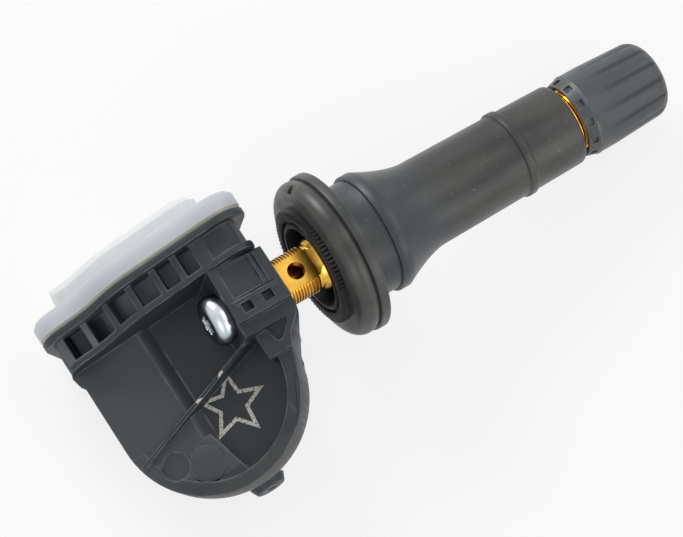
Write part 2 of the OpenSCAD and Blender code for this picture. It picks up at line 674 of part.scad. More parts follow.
module housing() {
    color([0.16, 0.17, 0.18]) case_frame() difference() {
        union() {
            tray_body();
            socket_block();
            web_block();
            long_rib();
            ledge_lobe();
            run_y(cup_outline(0), ledge_y, joint_y);
            run_y(cup_outline(lip_out), joint_y - lip_t, joint_y);
            port_nub();
        }
        band_pockets();
        case_hollow();
        stem_socket();
        socket_detail();
        end_cut();
        translate([plane_x - 4.85, mark_y + 1.6, plane_z - 0.2]) cylinder(r = 1.55, h = 1);
    }
}

// Lid, welded to the flange of the cup
module lid() {
    color([0.9, 0.92, 0.93, 0.9]) case_frame() difference() {
        union() {
            run_y(cup_outline(lip_out - 0.25), joint_y, joint_y + 0.3);
            run_y(cup_outline(lip_out), joint_y + 0.3, joint_y + lid_rim_t - 0.4);
            run_y(cup_outline(lip_out - 0.4), joint_y + lid_rim_t - 0.4, joint_y + lid_rim_t);
            run_y(dome_outline(0), joint_y + lid_rim_t - 0.4, joint_y + lid_rim_t + dome_h - 0.8);
            run_y(dome_outline(-0.8), joint_y + lid_rim_t, joint_y + lid_rim_t + dome_h);
            run_y(mouth_outline(-loose_gap), joint_y - 1.2, joint_y + 0.3);
        }
        run_y(mouth_outline(-loose_gap - 0.8), joint_y - 2, joint_y + lid_rim_t - lid_wall);
        run_y(dome_outline(-lid_wall - 0.4), joint_y - 2, joint_y + lid_rim_t + dome_h - lid_wall);
    }
}

// Electronics
module circuit_board() {
    color([0.12, 0.4, 0.22]) case_frame() raised(board_plan(0), -board_z, -board_z + board_t);
}
module coin_cell() {
    color([0.8, 0.81, 0.82]) case_frame() translate([round_x, cell_y, cell_z]) {
        cylinder(d = cell_d, h = cell_t - 0.5);
        cylinder(d = cell_d - 1.6, h = cell_t);
    }
}
module cell_tab_minus() {
    color([0.78, 0.78, 0.74]) case_frame() {
        raised(rounded([[tab_x - 2.4, cell_y - cell_d / 4, 1], [tab_x + 2.4, cell_y - cell_d / 4, 1],
            [tab_x + 1.2, tab_y - 0.3, 0.3], [tab_x - 1.2, tab_y - 0.3, 0.3]]), board_top, cell_z);
    }
}
module cell_tab_plus() {
    color([0.78, 0.78, 0.74]) case_frame() {
        raised(rounded([[round_x - 0.6, cell_y - cell_d * 0.3, 0.6],
            [round_x + 3, cell_y - cell_d * 0.3, 0.6], [round_x + 3, tab_y, 0],
            [round_x - 0.6, tab_y, 0]]), tab_top, tab_top + 0.2);
        box([round_x - 0.6, tab_y - 0.2, board_top], [round_x + 3, tab_y, tab_top + 0.1]);
    }
}
module sensor_chip() {
    color([0.1, 0.1, 0.11]) case_frame() difference() {
        box([port_x - 2.4, chip_out_y, board_top], [port_x + 2.4, chip_in_y, board_top + 2.2]);
        translate([port_x, chip_out_y + 1, port_z]) rotate([90, 0, 0]) cylinder(r = 0.4, h = 3);
    }
}
module port_seal() {
    color([0.7, 0.3, 0.2]) case_frame() translate([port_x, chip_out_y, port_z]) rotate([90, 0, 0])
        difference() {
            cylinder(r = 1.1, h = port_l);
            translate([0, 0, -1]) cylinder(r = 0.5, h = round_r);
        }
}
// Ferrite bobbin with square cheeks and a wound middle
winding_pts = concat(
    [[0, cheek_t / 2], [wound_r, cheek_t / 2]],
    [for (i = [0:coil_turns - 1]) each [[wound_r, cheek_t + i * turn_w],
        [wound_r + 0.2, cheek_t + (i + 0.3) * turn_w],
        [wound_r + 0.2, cheek_t + (i + 0.7) * turn_w]]],
    [[wound_r, cheek_t + coil_turns * turn_w], [wound_r, cheek_t * 1.5 + coil_turns * turn_w],
        [0, cheek_t * 1.5 + coil_turns * turn_w]]);
module wake_coil() {
    color([0.62, 0.35, 0.16]) case_frame()
        translate([coil_x, joint_y - 0.2, board_top + cheek_w / 2]) rotate([0, 90, 0]) {
            rotate_extrude() polygon(winding_pts);
            for (z = [0, cheek_t + coil_turns * turn_w])
                translate([-cheek_w / 2, -cheek_w / 2, z]) cube([cheek_w, cheek_w, cheek_t]);
        }
}
module radio_antenna() {
    color([0.82, 0.5, 0.28]) case_frame() run_y(concat(
        rounded([[antenna_far, board_top, 0], [antenna_far, antenna_low, 1.2],
            [antenna_near, antenna_high, 1.2], [antenna_near, board_top, 0]], 5),
        rounded([[antenna_near - wire_w, board_top, 0],
            [antenna_near - wire_w, antenna_high - wire_w, 0.8],
            [antenna_far + wire_w, antenna_low - wire_w * 0.7, 0.8],
            [antenna_far + wire_w, board_top, 0]], 5)),
        joint_y - 0.9, joint_y + 0.5);
}
module crystal() {
    color([0.75, 0.76, 0.78]) case_frame() {
        box([board_near - 3.2, joint_y - 1.8, board_top], [board_near - 2.2, joint_y - 1, board_top + 0.8]);
    }
}
module chip_capacitors() {
    color([0.72, 0.6, 0.45]) case_frame() for (x = [round_x - 4.5, round_x + 2.7])
        box([x, chip_in_y - 1.4, board_top], [x + 0.8, chip_in_y + 0.2, board_top + 0.6]);
}

// Screw that clamps the case to the stem
module stem_screw() {
    color([0.8, 0.82, 0.85]) difference() {
        union() {
            turned(concat([[0, -clamp_in], [head_r - 0.35, -clamp_in]],
                arc([head_r - head_round, -clamp_in - head_t + head_round], head_round, 30, -90, 12),
                [[0, -clamp_in - head_t]]));
            disc(screw_r, -clamp_in - 0.5, -clamp_in + screw_l);
        }
        translate([-clamp_in - head_t - 1, 0, 0]) along_x() {
            cylinder(r = 0.85, h = 2.3);
            for (i = [0:5]) rotate([0, 0, 60 * i]) translate([0.85, 0, 0])
                cylinder(r = 0.32, h = 2.3, $fn = 24);
        }
    }
}

housing();
lid();
circuit_board();
coin_cell();
cell_tab_plus();
cell_tab_minus();
sensor_chip();
port_seal();
wake_coil();
radio_antenna();
crystal();
chip_capacitors();
stem_screw();
valve_stem();
valve_rubber();
core_barrel();
core_gasket();
core_pin();
core_plunger_seal();
core_spring();
cap();
cap_seal();
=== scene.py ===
import json
import math
import bpy
from mathutils import Matrix, Vector
from mathutils.bvhtree import BVHTree


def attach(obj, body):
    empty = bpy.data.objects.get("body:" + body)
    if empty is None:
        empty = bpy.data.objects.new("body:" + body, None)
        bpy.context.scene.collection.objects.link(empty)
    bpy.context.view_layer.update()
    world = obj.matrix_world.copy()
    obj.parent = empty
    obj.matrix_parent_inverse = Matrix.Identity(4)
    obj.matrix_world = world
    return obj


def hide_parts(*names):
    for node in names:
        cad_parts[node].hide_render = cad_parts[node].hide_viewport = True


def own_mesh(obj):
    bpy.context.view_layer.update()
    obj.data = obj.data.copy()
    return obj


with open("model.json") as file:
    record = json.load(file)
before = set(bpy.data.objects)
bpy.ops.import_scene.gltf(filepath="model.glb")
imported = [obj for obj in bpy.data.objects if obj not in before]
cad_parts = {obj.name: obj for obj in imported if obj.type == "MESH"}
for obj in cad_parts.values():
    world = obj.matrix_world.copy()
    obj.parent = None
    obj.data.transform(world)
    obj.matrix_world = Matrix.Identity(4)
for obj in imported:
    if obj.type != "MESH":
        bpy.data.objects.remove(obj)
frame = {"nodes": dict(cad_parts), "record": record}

mm = 0.001
nodes = frame["nodes"]
record = frame["record"]
slotOf = {part["node"]: part["material_slot"] for part in record["subparts"]}
bodies = record["behaviour"]["bodies"]
bodyOf = {node: body for body, members in bodies.items() for node in members}
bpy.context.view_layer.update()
print("frame loaded:", len(nodes), "nodes")

# The frame of the case: its X runs along the tray floor, tilted against the valve
caseFrame = {"back": 1.3 * mm, "tilt": math.radians(22)}
caseUp = (-math.sin(caseFrame["tilt"]), 0, math.cos(caseFrame["tilt"]))
valveAxis = (1, 0, 0)
towardsLid = (0, 1, 0)


def deselectAll():
    if bpy.context.object and bpy.context.object.mode != "OBJECT":
        bpy.ops.object.mode_set(mode="OBJECT")
    bpy.ops.object.select_all(action="DESELECT")


def selectOnly(piece):
    deselectAll()
    piece.select_set(True)
    bpy.context.view_layer.objects.active = piece


# The camera looks down on the sensor as it lies on the table
view = {
    "right": Vector((0.8296, -0.5385, 0.1481)),
    "up": Vector((0.4733, 0.8187, 0.3256)),
    "toCamera": Vector((-0.2965, -0.2, 0.934)),
    "distance": 420 * mm,
    "aim": Vector((-1.3 * mm, 0, 0)),
    "slide": (0.934 * mm, -1.538 * mm),  # how far the camera moves right and up of its aim
    "lens": 201.45,
    "filmWidth": 36,
    "sees": (0.01, 10),
}


def addCamera(values):
    right, up, back = values["right"], values["up"], values["toCamera"]
    aside, above = values["slide"]
    spot = values["aim"] + back * values["distance"] + right * aside + up * above
    deselectAll()
    bpy.ops.object.camera_add()
    camera = bpy.context.object
    camera.name = "photoCamera"
    turn = Matrix((right, up, back)).transposed().to_4x4()
    camera.matrix_world = Matrix.Translation(spot) @ turn
    camera.data.lens = values["lens"]
    camera.data.sensor_width = values["filmWidth"]
    camera.data.clip_start, camera.data.clip_end = values["sees"]
    bpy.context.scene.camera = camera


# Materials: every pattern reads Object coordinates in metres, so noise scales are per metre
def newMaterial(name):
    material = bpy.data.materials.new(name)
    material.use_nodes = True
    tree = material.node_tree
    shader = tree.nodes["Principled BSDF"]
    place = tree.nodes.new("ShaderNodeTexCoord").outputs["Object"]
    return material, tree, shader, place


# A colour, or a level of grey, as Blender's four numbers
def asColour(value):
    return (*value, 1) if isinstance(value, tuple) else (value, value, value, 1)


def noise(tree, place, pattern):
    mapping = tree.nodes.new("ShaderNodeMapping")
    mapping.inputs["Scale"].default_value = pattern.get("stretch", (1, 1, 1))
    texture = tree.nodes.new("ShaderNodeTexNoise")
    texture.inputs["Scale"].default_value = pattern["scale"]
    texture.inputs["Detail"].default_value = pattern["detail"]
    tree.links.new(place, mapping.inputs["Vector"])
    tree.links.new(mapping.outputs["Vector"], texture.inputs["Vector"])
    return texture.outputs["Fac"]


def ramp(tree, value, stops):
    node = tree.nodes.new("ShaderNodeValToRGB")
    while len(node.color_ramp.elements) < len(stops):
        node.color_ramp.elements.new(0.5)
    for element, (at, colour) in zip(node.color_ramp.elements, stops):
        element.position = at
        element.color = asColour(colour)
    tree.links.new(value, node.inputs["Fac"])
    return node.outputs["Color"]


evenStops = (0.3, 0.7)  # where most blends begin and end


def blend(tree, value, stops, ends):
    return ramp(tree, value, list(zip(stops, ends)))


def patterned(tree, place, pattern, ends=None):
    return blend(tree, noise(tree, place, pattern), pattern["stops"], ends or pattern["ends"])


mixSockets = {"first": 6, "second": 7, "result": 2}  # the colour sockets of a Mix node


def mixed(tree, factor, first, second):
    node = tree.nodes.new("ShaderNodeMix")
    node.data_type = "RGBA"
    tree.links.new(factor, node.inputs["Factor"])
    for side, value in (("first", first), ("second", second)):
        socket = node.inputs[mixSockets[side]]
        if isinstance(value, tuple):
            socket.default_value = asColour(value)
        else:
            tree.links.new(value, socket)
    return node.outputs[mixSockets["result"]]


def computed(tree, operation, *inputs):
    node = tree.nodes.new("ShaderNodeMath")
    node.operation = operation
    for socket, value in zip(node.inputs, inputs):
        if isinstance(value, (int, float)):
            socket.default_value = value
        else:
            tree.links.new(value, socket)
    return node.outputs[0]


def times(tree, first, second):
    return computed(tree, "MULTIPLY", first, second)


def along(tree, place, direction):
    node = tree.nodes.new("ShaderNodeVectorMath")
    node.operation = "DOT_PRODUCT"
    node.inputs[1].default_value = direction
    tree.links.new(place, node.inputs[0])
    return node.outputs["Value"]


def rising(tree, value, start, end):
    node = tree.nodes.new("ShaderNodeMapRange")
    node.inputs["From Min"].default_value = start
    node.inputs["From Max"].default_value = end
    tree.links.new(value, node.inputs["Value"])
    return node.outputs["Result"]


# One between the two limits, and falling to zero within the soft width outside them
def between(tree, value, limits, soft):
    low, high = limits
    return times(tree, rising(tree, value, low - soft, low), rising(tree, value, high + soft, high))


def coat(tree, shader, colour, roughness):
    tree.links.new(colour, shader.inputs["Base Color"])
    tree.links.new(roughness, shader.inputs["Roughness"])


def bumped(tree, shader, place, layers):
    normal = None
    for layer in layers:
        bump = tree.nodes.new("ShaderNodeBump")
        bump.inputs["Distance"].default_value = layer["depth"]
        bump.inputs["Strength"].default_value = layer["strength"]
        tree.links.new(noise(tree, place, layer), bump.inputs["Height"])
        if normal:
            tree.links.new(normal, bump.inputs["Normal"])
        normal = bump.outputs["Normal"]
    tree.links.new(normal, shader.inputs["Normal"])


# What the plastics of the case and the cap have in common
moulded = {
    "cloud": {"scale": 210, "detail": 3, "stops": (0.3, 0.72)},
    "patches": {"scale": 480, "detail": 8, "stops": (0.25, 0.75), "ends": (0.1, 1)},
    "scratches": {"scale": 900, "detail": 2, "stops": (0.69, 0.74), "stretch": (0.12, 1, 2.2)},
    "rubbedHighlightPatches": {"scale": 620, "detail": 5, "stops": (0.38, 0.60), "ends": (0.15, 0.95)},
    "gloss": {"scale": 420, "detail": 4, "stops": evenStops},
    "bump": {"detail": 3, "depth": 0.015 * mm, "strength": 0.35},
}
casePlastic = {
    "dark": (0.0180, 0.0230, 0.0282),
    "light": (0.0262, 0.0328, 0.0392),
    "worn": (0.085, 0.090, 0.094),
    "rubbedHighlight": (0.110, 0.118, 0.124),
    "roughness": (0.43, 0.48),
    "grain": 5200,
    "specular": 0.40,
    "scratch": 0.10,
    "zoneEnds": {"along": 0.2 * mm, "up": 0.25 * mm},
    # Places painted in a tone of their own, by how far they lie towards the lid and up: painted
    # shade on the tray floor, painted light on the pocket floors and the raised plane, and dust
    # with painted light on a band far from the lid
    "zones": {
        # painted shade: the tray floor darker, as if deep within the rim
        "floor": {"colour": (0.0118, 0.0160, 0.0205), "share": 0.85,
                  "along": (-30 * mm, 4.4 * mm), "up": (1.9 * mm, 3.0 * mm)},
        # painted light: the pocket floors lighter, as if lit
        "pockets": {"colour": (0.120, 0.130, 0.138), "share": 0.8,
                    "along": (5.2 * mm, 8.0 * mm), "up": (5.4 * mm, 7.5 * mm)},
        # painted light: the raised plane lighter, as if lit
        "plane": {"colour": (0.052, 0.057, 0.062), "share": 0.8,
                  "along": (-14 * mm, 4.4 * mm), "up": (3.40 * mm, 3.60 * mm)},
        # dust, and painted light: a lighter, warm, patchy band
        "dust": {"colour": (0.052, 0.050, 0.043), "share": 0.55, "patchy": True,
                 "along": (-19 * mm, -14.6 * mm), "up": (0.5 * mm, 12 * mm)},
    },
}


# Mixes the zones into the colour: painted shade, painted light and patchy dust by place
def zoned(tree, place, base, values):
    ends = values["zoneEnds"]
    for spot in values["zones"].values():
        inside = times(tree,
                       between(tree, along(tree, place, towardsLid), spot["along"], ends["along"]),
                       between(tree, along(tree, place, caseUp), spot["up"], ends["up"]))
        if spot.get("patchy"):
            inside = times(tree, inside, patterned(tree, place, moulded["patches"]))
        base = mixed(tree, times(tree, inside, spot["share"]), base, spot["colour"])
    return base


# Painted shade: the grooves between the flutes of the cap are darkened, fading in along the cap
def paintedFluteShade(tree, place, base, cut):
    spot = tree.nodes.new("ShaderNodeSeparateXYZ")
    tree.links.new(place, spot.inputs[0])
    turned = computed(tree, "ARCTAN2", spot.outputs["Y"], spot.outputs["Z"])
    wave = computed(tree, "COSINE", times(tree, turned, cut["count"]))
    grooveShade = times(tree, blend(tree, wave, cut["stops"], (0, cut["share"])),
                 rising(tree, spot.outputs["X"], *cut["along"]))
    return mixed(tree, grooveShade, base, cut["colour"])


def plasticMaterial(name, values, edges=False):
    material, tree, shader, place = newMaterial(name)
    base = patterned(tree, place, moulded["cloud"], (values["dark"], values["light"]))
    if "zones" in values:
        base = zoned(tree, place, base, values)
    scratches = patterned(tree, place, moulded["scratches"], (0, values["scratch"]))
    base = mixed(tree, scratches, base, values["worn"])
    if "flutes" in values:
        base = paintedFluteShade(tree, place, base, values["flutes"])
    # Rubbed wear with a painted highlight on the bevelled edges
    if edges:
        base = mixed(tree, patterned(tree, place, moulded["rubbedHighlightPatches"]), base, values["rubbedHighlight"])
    coat(tree, shader, base, patterned(tree, place, moulded["gloss"], values["roughness"]))
    shader.inputs["Specular IOR Level"].default_value = values["specular"]
    bumped(tree, shader, place, [dict(moulded["bump"], scale=values["grain"])])
    return material


capPlastic = {
    "dark": (0.064, 0.070, 0.075),
    "light": (0.076, 0.083, 0.089),
    "worn": (0.150, 0.157, 0.162),
    "rubbedHighlight": (0.190, 0.190, 0.180),
    "roughness": (0.38, 0.44),
    "grain": 4200,
    "specular": 0.40,
    "scratch": 0.06,
    # painted shade in the grooves between the flutes
    "flutes": {"count": 14, "colour": (0.022, 0.026, 0.030), "stops": (0.45, 0.95),
               "share": 0.9, "along": (33 * mm, 36 * mm)},
}

rubber = {
    "dark": (0.0215, 0.0218, 0.0210),
    "light": (0.0600, 0.0590, 0.0545),
    "dust": (0.16, 0.15, 0.13),
    "bloom": (0.036, 0.046, 0.052),
    "bloomed": (1.0 * mm, 9.5 * mm),  # from the rim seat to the end of the cone
    "bloomEnds": 2.5 * mm,
    "cloud": {"scale": 260, "detail": 5, "stops": (0.35, 0.65), "stretch": (0.25, 1, 1)},
    "patches": {"scale": 110, "detail": 4, "stops": (0.30, 0.62), "ends": (0.25, 0.9)},
    "specks": {"scale": 2600, "detail": 1, "stops": (0.735, 0.765), "ends": (0, 0.7)},
    "roughness": (0.46, 0.32),
    "specular": 0.45,
    "sheen": {"weight": 0.06, "roughness": 0.5},
    "bumps": [{"scale": 1500, "detail": 4, "depth": 0.03 * mm, "strength": 0.35},
              {"scale": 7000, "detail": 2, "depth": 0.012 * mm, "strength": 0.3}],
}


def rubberMaterial(name, values):
    material, tree, shader, place = newMaterial(name)
    cloud = noise(tree, place, values["cloud"])
    base = blend(tree, cloud, values["cloud"]["stops"], (values["dark"], values["light"]))
    length = along(tree, place, valveAxis)
    bloom = times(tree, between(tree, length, values["bloomed"], values["bloomEnds"]),
                  patterned(tree, place, values["patches"]))
    base = mixed(tree, bloom, base, values["bloom"])
    base = mixed(tree, patterned(tree, place, values["specks"]), base, values["dust"])
    coat(tree, shader, base, blend(tree, cloud, evenStops, values["roughness"]))
    shader.inputs["Specular IOR Level"].default_value = values["specular"]
    shader.inputs["Sheen Weight"].default_value = values["sheen"]["weight"]
    shader.inputs["Sheen Roughness"].default_value = values["sheen"]["roughness"]
    bumped(tree, shader, place, values["bumps"])
    return material


# What the metals have in common; their roughness goes from the dark to the light parts
metal = {
    "coarser": 4,  # how much coarser the clouds are than the grain
    "detail": 4,
    "stops": (0.3, 0.6),
    "edgeShadeStops": (0.30, 0.75),
    "bump": {"detail": 4, "depth": 0.02 * mm, "strength": 0.3},
}
# edge is the colour of the painted shade where a metal turns away from the camera
metals = {
    "brass": {"dark": (0.54, 0.265, 0.040), "light": (0.94, 0.55, 0.095),
              "roughness": (0.30, 0.16), "grain": 1500,
              "edge": (0.24, 0.10, 0.015), "edgeShadeShare": 0.6},
    "zinc_screw": {"dark": (0.26, 0.32, 0.37), "light": (0.60, 0.64, 0.68),
                   "roughness": (0.36, 0.24), "grain": 900,
                   "edge": (0.06, 0.10, 0.13), "edgeShadeShare": 0.9},
    "copper": {"dark": (0.55, 0.20, 0.08), "light": (0.86, 0.42, 0.20),
               "roughness": (0.36, 0.22), "grain": 2000},
    "spring_steel": {"dark": (0.38, 0.39, 0.41), "light": (0.62, 0.63, 0.65),
                     "roughness": (0.34, 0.22), "grain": 2600},
    "cell_steel": {"dark": (0.46, 0.47, 0.48), "light": (0.68, 0.69, 0.70),
                   "roughness": (0.42, 0.24), "grain": 1200},
    "tab_metal": {"dark": (0.50, 0.49, 0.44), "light": (0.72, 0.70, 0.62),
                  "roughness": (0.40, 0.28), "grain": 1600},
}


def metalMaterial(name, values):
    material, tree, shader, place = newMaterial(name)
    pattern = {"scale": values["grain"] / metal["coarser"], "detail": metal["detail"]}
    cloud = noise(tree, place, pattern)
    base = blend(tree, cloud, metal["stops"], (values["dark"], values["light"]))
    # Painted shade: the metal darkens where its surface turns away from the camera
    if "edge" in values:
        away = tree.nodes.new("ShaderNodeLayerWeight").outputs["Facing"]
        share = blend(tree, away, metal["edgeShadeStops"], (0, values["edgeShadeShare"]))
        base = mixed(tree, share, base, values["edge"])
    coat(tree, shader, base, blend(tree, cloud, evenStops, values["roughness"]))
    shader.inputs["Metallic"].default_value = 1
    bumped(tree, shader, place, [dict(metal["bump"], scale=values["grain"])])
    return material


lidLook = {
    "joint": 9.0 * mm,
    "high": 14.0 * mm,
    # From the joint to the top: yellowed weld, translucent rim, shoulder, dome
    "stops": [(0.0, (0.50, 0.47, 0.34)), (0.045, (0.62, 0.61, 0.52)), (0.09, (0.50, 0.53, 0.57)),
              (0.42, (0.60, 0.62, 0.66)), (0.50, (0.70, 0.71, 0.72)), (0.9, (0.76, 0.77, 0.77))],
    "cloud": {"scale": 160, "detail": 4},
    "milk": {"colour": (0.62, 0.66, 0.70), "stops": (0.35, 0.7), "share": 0.30},
    "roughness": (0.30, 0.42),
    "subsurface": {"weight": 0.25, "radius": (1, 1.1, 1.3), "scale": 0.8 * mm},
    "specular": 0.5,
    "bumps": [{"scale": 900, "detail": 3, "depth": 0.02 * mm, "strength": 0.25}],
}


def lidMaterial(name, values):
    material, tree, shader, place = newMaterial(name)
    height = rising(tree, along(tree, place, towardsLid), values["joint"], values["high"])
    base = ramp(tree, height, values["stops"])
    cloud = noise(tree, place, values["cloud"])
    milk = values["milk"]
    share = blend(tree, cloud, milk["stops"], (0, milk["share"]))
    base = mixed(tree, share, base, milk["colour"])
    coat(tree, shader, base, blend(tree, cloud, evenStops, values["roughness"]))
    shader.inputs["Subsurface Weight"].default_value = values["subsurface"]["weight"]
    shader.inputs["Subsurface Radius"].default_value = values["subsurface"]["radius"]
    shader.inputs["Subsurface Scale"].default_value = values["subsurface"]["scale"]
    shader.inputs["Specular IOR Level"].default_value = values["specular"]
    bumped(tree, shader, place, values["bumps"])
    return material


# What the plain looks have in common, where they don't give a value of their own
plain = {
    "coarser": 6,
    "detail": 4,
    "specular": 0.5,
    "bump": {"detail": 3, "depth": 0.015 * mm, "strength": 0.4},
}
plainLooks = {
    "board": {"dark": (0.012, 0.075, 0.035), "light": (0.03, 0.14, 0.07),
              "roughness": (0.30, 0.48), "grain": 2400},
    "chip_black": {"dark": (0.010, 0.010, 0.011), "light": (0.022, 0.022, 0.024),
                   "roughness": (0.45, 0.6), "grain": 5000},
    "chip_tan": {"dark": (0.28, 0.19, 0.11), "light": (0.46, 0.34, 0.21),
                 "roughness": (0.4, 0.55), "grain": 4000},
    "seal_rubber": {"dark": (0.012, 0.012, 0.012), "light": (0.028, 0.027, 0.025),
                    "roughness": (0.6, 0.75), "grain": 3000},
    "core_gasket": {"dark": (0.30, 0.03, 0.02), "light": (0.46, 0.06, 0.04),
                    "roughness": (0.5, 0.65), "grain": 3000},
}
# Painted shade: a darker, less shiny look for the collar and the hollow round the stem
shadedRubberRecess = {
    "dark": (0.0080, 0.0092, 0.0108),
    "light": (0.0190, 0.0210, 0.0235),
    "roughness": (0.42, 0.60),
    "specular": 0.28,
    "grain": 1400,
    "coarser": 1,
    "bump": {"detail": 4, "depth": 0.03 * mm, "strength": 0.35},
}


def plainMaterial(name, values):
    material, tree, shader, place = newMaterial(name)
    look = {**plain, **values}
    pattern = {"scale": look["grain"] / look["coarser"], "detail": look["detail"]}
    cloud = noise(tree, place, pattern)
    coat(tree, shader, blend(tree, cloud, evenStops, (look["dark"], look["light"])),
         blend(tree, cloud, evenStops, look["roughness"]))
    shader.inputs["Specular IOR Level"].default_value = look["specular"]
    bumped(tree, shader, place, [dict(look["bump"], scale=look["grain"])])
    return material


finishes = {
    "case_plastic": plasticMaterial("casePlastic", casePlastic),
    "cap_plastic": plasticMaterial("capPlastic", capPlastic),
    "valve_rubber": rubberMaterial("valveRubber", rubber),
    "lid_plastic": lidMaterial("lidPlastic", lidLook),
}
# Copies for the bevelled edges: rubbed wear with a painted highlight
edgeFinishes = {
    "case_plastic": plasticMaterial("caseRubbedHighlitEdge", casePlastic, edges=True),
    "cap_plastic": plasticMaterial("capRubbedHighlitEdge", capPlastic, edges=True),
}
recessShadeFinish = plainMaterial("shadedRubberRecess", shadedRubberRecess)
for slot, values in metals.items():
    finishes[slot] = metalMaterial(slot, values)
for slot, values in plainLooks.items():
    finishes[slot] = plainMaterial(slot, values)
print("materials made:", len(finishes))


def dress(piece, slot):
    piece.data.materials.clear()
    piece.data.materials.append(finishes[slot])


for name, node in nodes.items():
    dress(node, slotOf[name])


# Selects the faces or corners of a piece that pass a test, and opens it for editing
def pick(piece, kind, wanted):
    selectOnly(piece)
    bpy.ops.object.mode_set(mode="EDIT")
    bpy.ops.mesh.select_mode(type=kind)
    bpy.ops.mesh.select_all(action="DESELECT")
    bpy.ops.object.mode_set(mode="OBJECT")
    for element in piece.data.vertices if kind == "VERT" else piece.data.polygons:
        element.select = wanted(element)
    bpy.ops.object.mode_set(mode="EDIT")


# The step round the top of the lid becomes one slope from the rim to the dome
def slopeStep(piece, values):
    step, top, near = values["step"], values["top"], values["near"]

    def inStep(face):
        onStep = abs(face.center.y - step) < near and face.normal.y > values["facing"]
        return onStep or step + near < face.center.y < top - near

    pick(piece, "FACE", inStep)
    bpy.ops.mesh.delete(type="FACE")
    bpy.ops.mesh.select_mode(type="EDGE")
    bpy.ops.mesh.select_non_manifold(
        extend=False, use_wire=False, use_multi_face=False, use_verts=False)
    bpy.ops.mesh.fill(use_beauty=True)
    bpy.ops.mesh.select_all(action="SELECT")
    bpy.ops.mesh.normals_make_consistent(inside=False)
    bpy.ops.object.mode_set(mode="OBJECT")


# Painted shade: the collar and the hollow round the stem get a darker, less shiny material, as if
# out of the light
def darkenRecess(piece, values):
    piece.data.materials.append(recessShadeFinish)
    own = len(piece.data.materials) - 1
    before, radius = values["before"], values["radius"]
    corners = [vertex.co for vertex in piece.data.vertices]
    for face in piece.data.polygons:
        spots = [corners[index] for index in face.vertices]
        if all(spot.x < before and math.hypot(spot.y, spot.z) < radius for spot in spots):
            face.material_index = own


# Corners that the bevel throws out of the surface come back onto it
loose = {"out": 0.004 * mm, "off": 0.5}  # off is a share of the width of the edge


def pullBack(piece, corners, surface, furthest):
    low = [min(corner[side] for corner in corners) for side in range(3)]
    high = [max(corner[side] for corner in corners) for side in range(3)]
    moved = 0
    for vertex in piece.data.vertices:
        spot, normal, _, away = surface.find_nearest(vertex.co)
        outside = (vertex.co - spot).dot(normal) > loose["out"]
        if outside or away > furthest:
            vertex.co = spot
            moved += 1
        vertex.co = [min(max(vertex.co[side], low[side]), high[side]) for side in range(3)]
    print("corners pulled back:", piece.name, moved)


# A copy of a solid, with the corners that its faces share welded and flat faces joined
def cadCopy(name, pieceName, weld, flat=None):
    piece = bpy.data.objects.new(pieceName, nodes[name].data.copy())
    bpy.context.scene.collection.objects.link(piece)
    selectOnly(piece)
    bpy.ops.mesh.customdata_custom_splitnormals_clear()
    bpy.ops.object.mode_set(mode="EDIT")
    bpy.ops.mesh.select_all(action="SELECT")
    bpy.ops.mesh.remove_doubles(threshold=weld)
    if flat:
        bpy.ops.mesh.dissolve_limited(angle_limit=math.radians(flat))
    bpy.ops.object.mode_set(mode="OBJECT")
    return piece


# Pieces that carry a CAD shape over, with soft moulded or turned edges
softened = {
    "housing": {"piece": "mouldedCase", "edge": 0.12 * mm, "segments": 2,
                "sharper": 35, "smooth": 32, "flat": 0.3},
    "lid": {"piece": "weldedLid", "edge": 0.14 * mm, "segments": 3,
            "sharper": 30, "smooth": 40, "flat": 0.3,
            "clamped": True,  # a free bevel folds faces at the small steps of the lid
            "shoulder": {"step": 13.0 * mm, "top": 13.8 * mm, "near": 0.1 * mm, "facing": 0.9}},
    "valve_rubber": {"piece": "rubberValve", "edge": 0.07 * mm, "segments": 2,
                     "sharper": 38, "smooth": 38, "flat": 0.1,
                     # the collar and hollow that get the painted shade
                     "recess": {"before": -0.02 * mm, "radius": 7.25 * mm}},
    "cap": {"piece": "screwCap", "edge": 0.07 * mm, "segments": 2,
            "sharper": 30, "smooth": 35, "flat": 0.1},
    "stem_screw": {"piece": "clampScrew", "edge": 0.05 * mm, "segments": 2,
                   "sharper": 35, "smooth": 40, "flat": 0.1},
}
softWeld = 0.03 * mm


def carriedOver(name, values):
    piece = cadCopy(name, values["piece"], softWeld, values["flat"])
    if "shoulder" in values:
        slopeStep(piece, values["shoulder"])
    corners = [vertex.co.copy() for vertex in piece.data.vertices]
    faces = [list(face.vertices) for face in piece.data.polygons]
    surface = BVHTree.FromPolygons(corners, faces)
    bevel = piece.modifiers.new("softEdges", "BEVEL")
    bevel.width = values["edge"]
    bevel.segments = values["segments"]
    bevel.limit_method = "ANGLE"
    bevel.angle_limit = math.radians(values["sharper"])
    bevel.use_clamp_overlap = values.get("clamped", False)
    dress(piece, slotOf[name])
    # The bevel's faces take the copy with rubbed wear and a painted highlight
    if slotOf[name] in edgeFinishes:
        piece.data.materials.append(edgeFinishes[slotOf[name]])
        bevel.material = len(piece.data.materials) - 1
    bpy.ops.object.modifier_apply(modifier=bevel.name)
    pullBack(piece, corners, surface, values["edge"] * loose["off"])
    if "recess" in values:
        darkenRecess(piece, values["recess"])
    bpy.ops.object.shade_smooth_by_angle(angle=math.radians(values["smooth"]))
    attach(piece, bodyOf[name])
    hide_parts(name)
    print("piece made:", values["piece"], len(piece.data.polygons), "faces")


for name, values in softened.items():
    carriedOver(name, values)

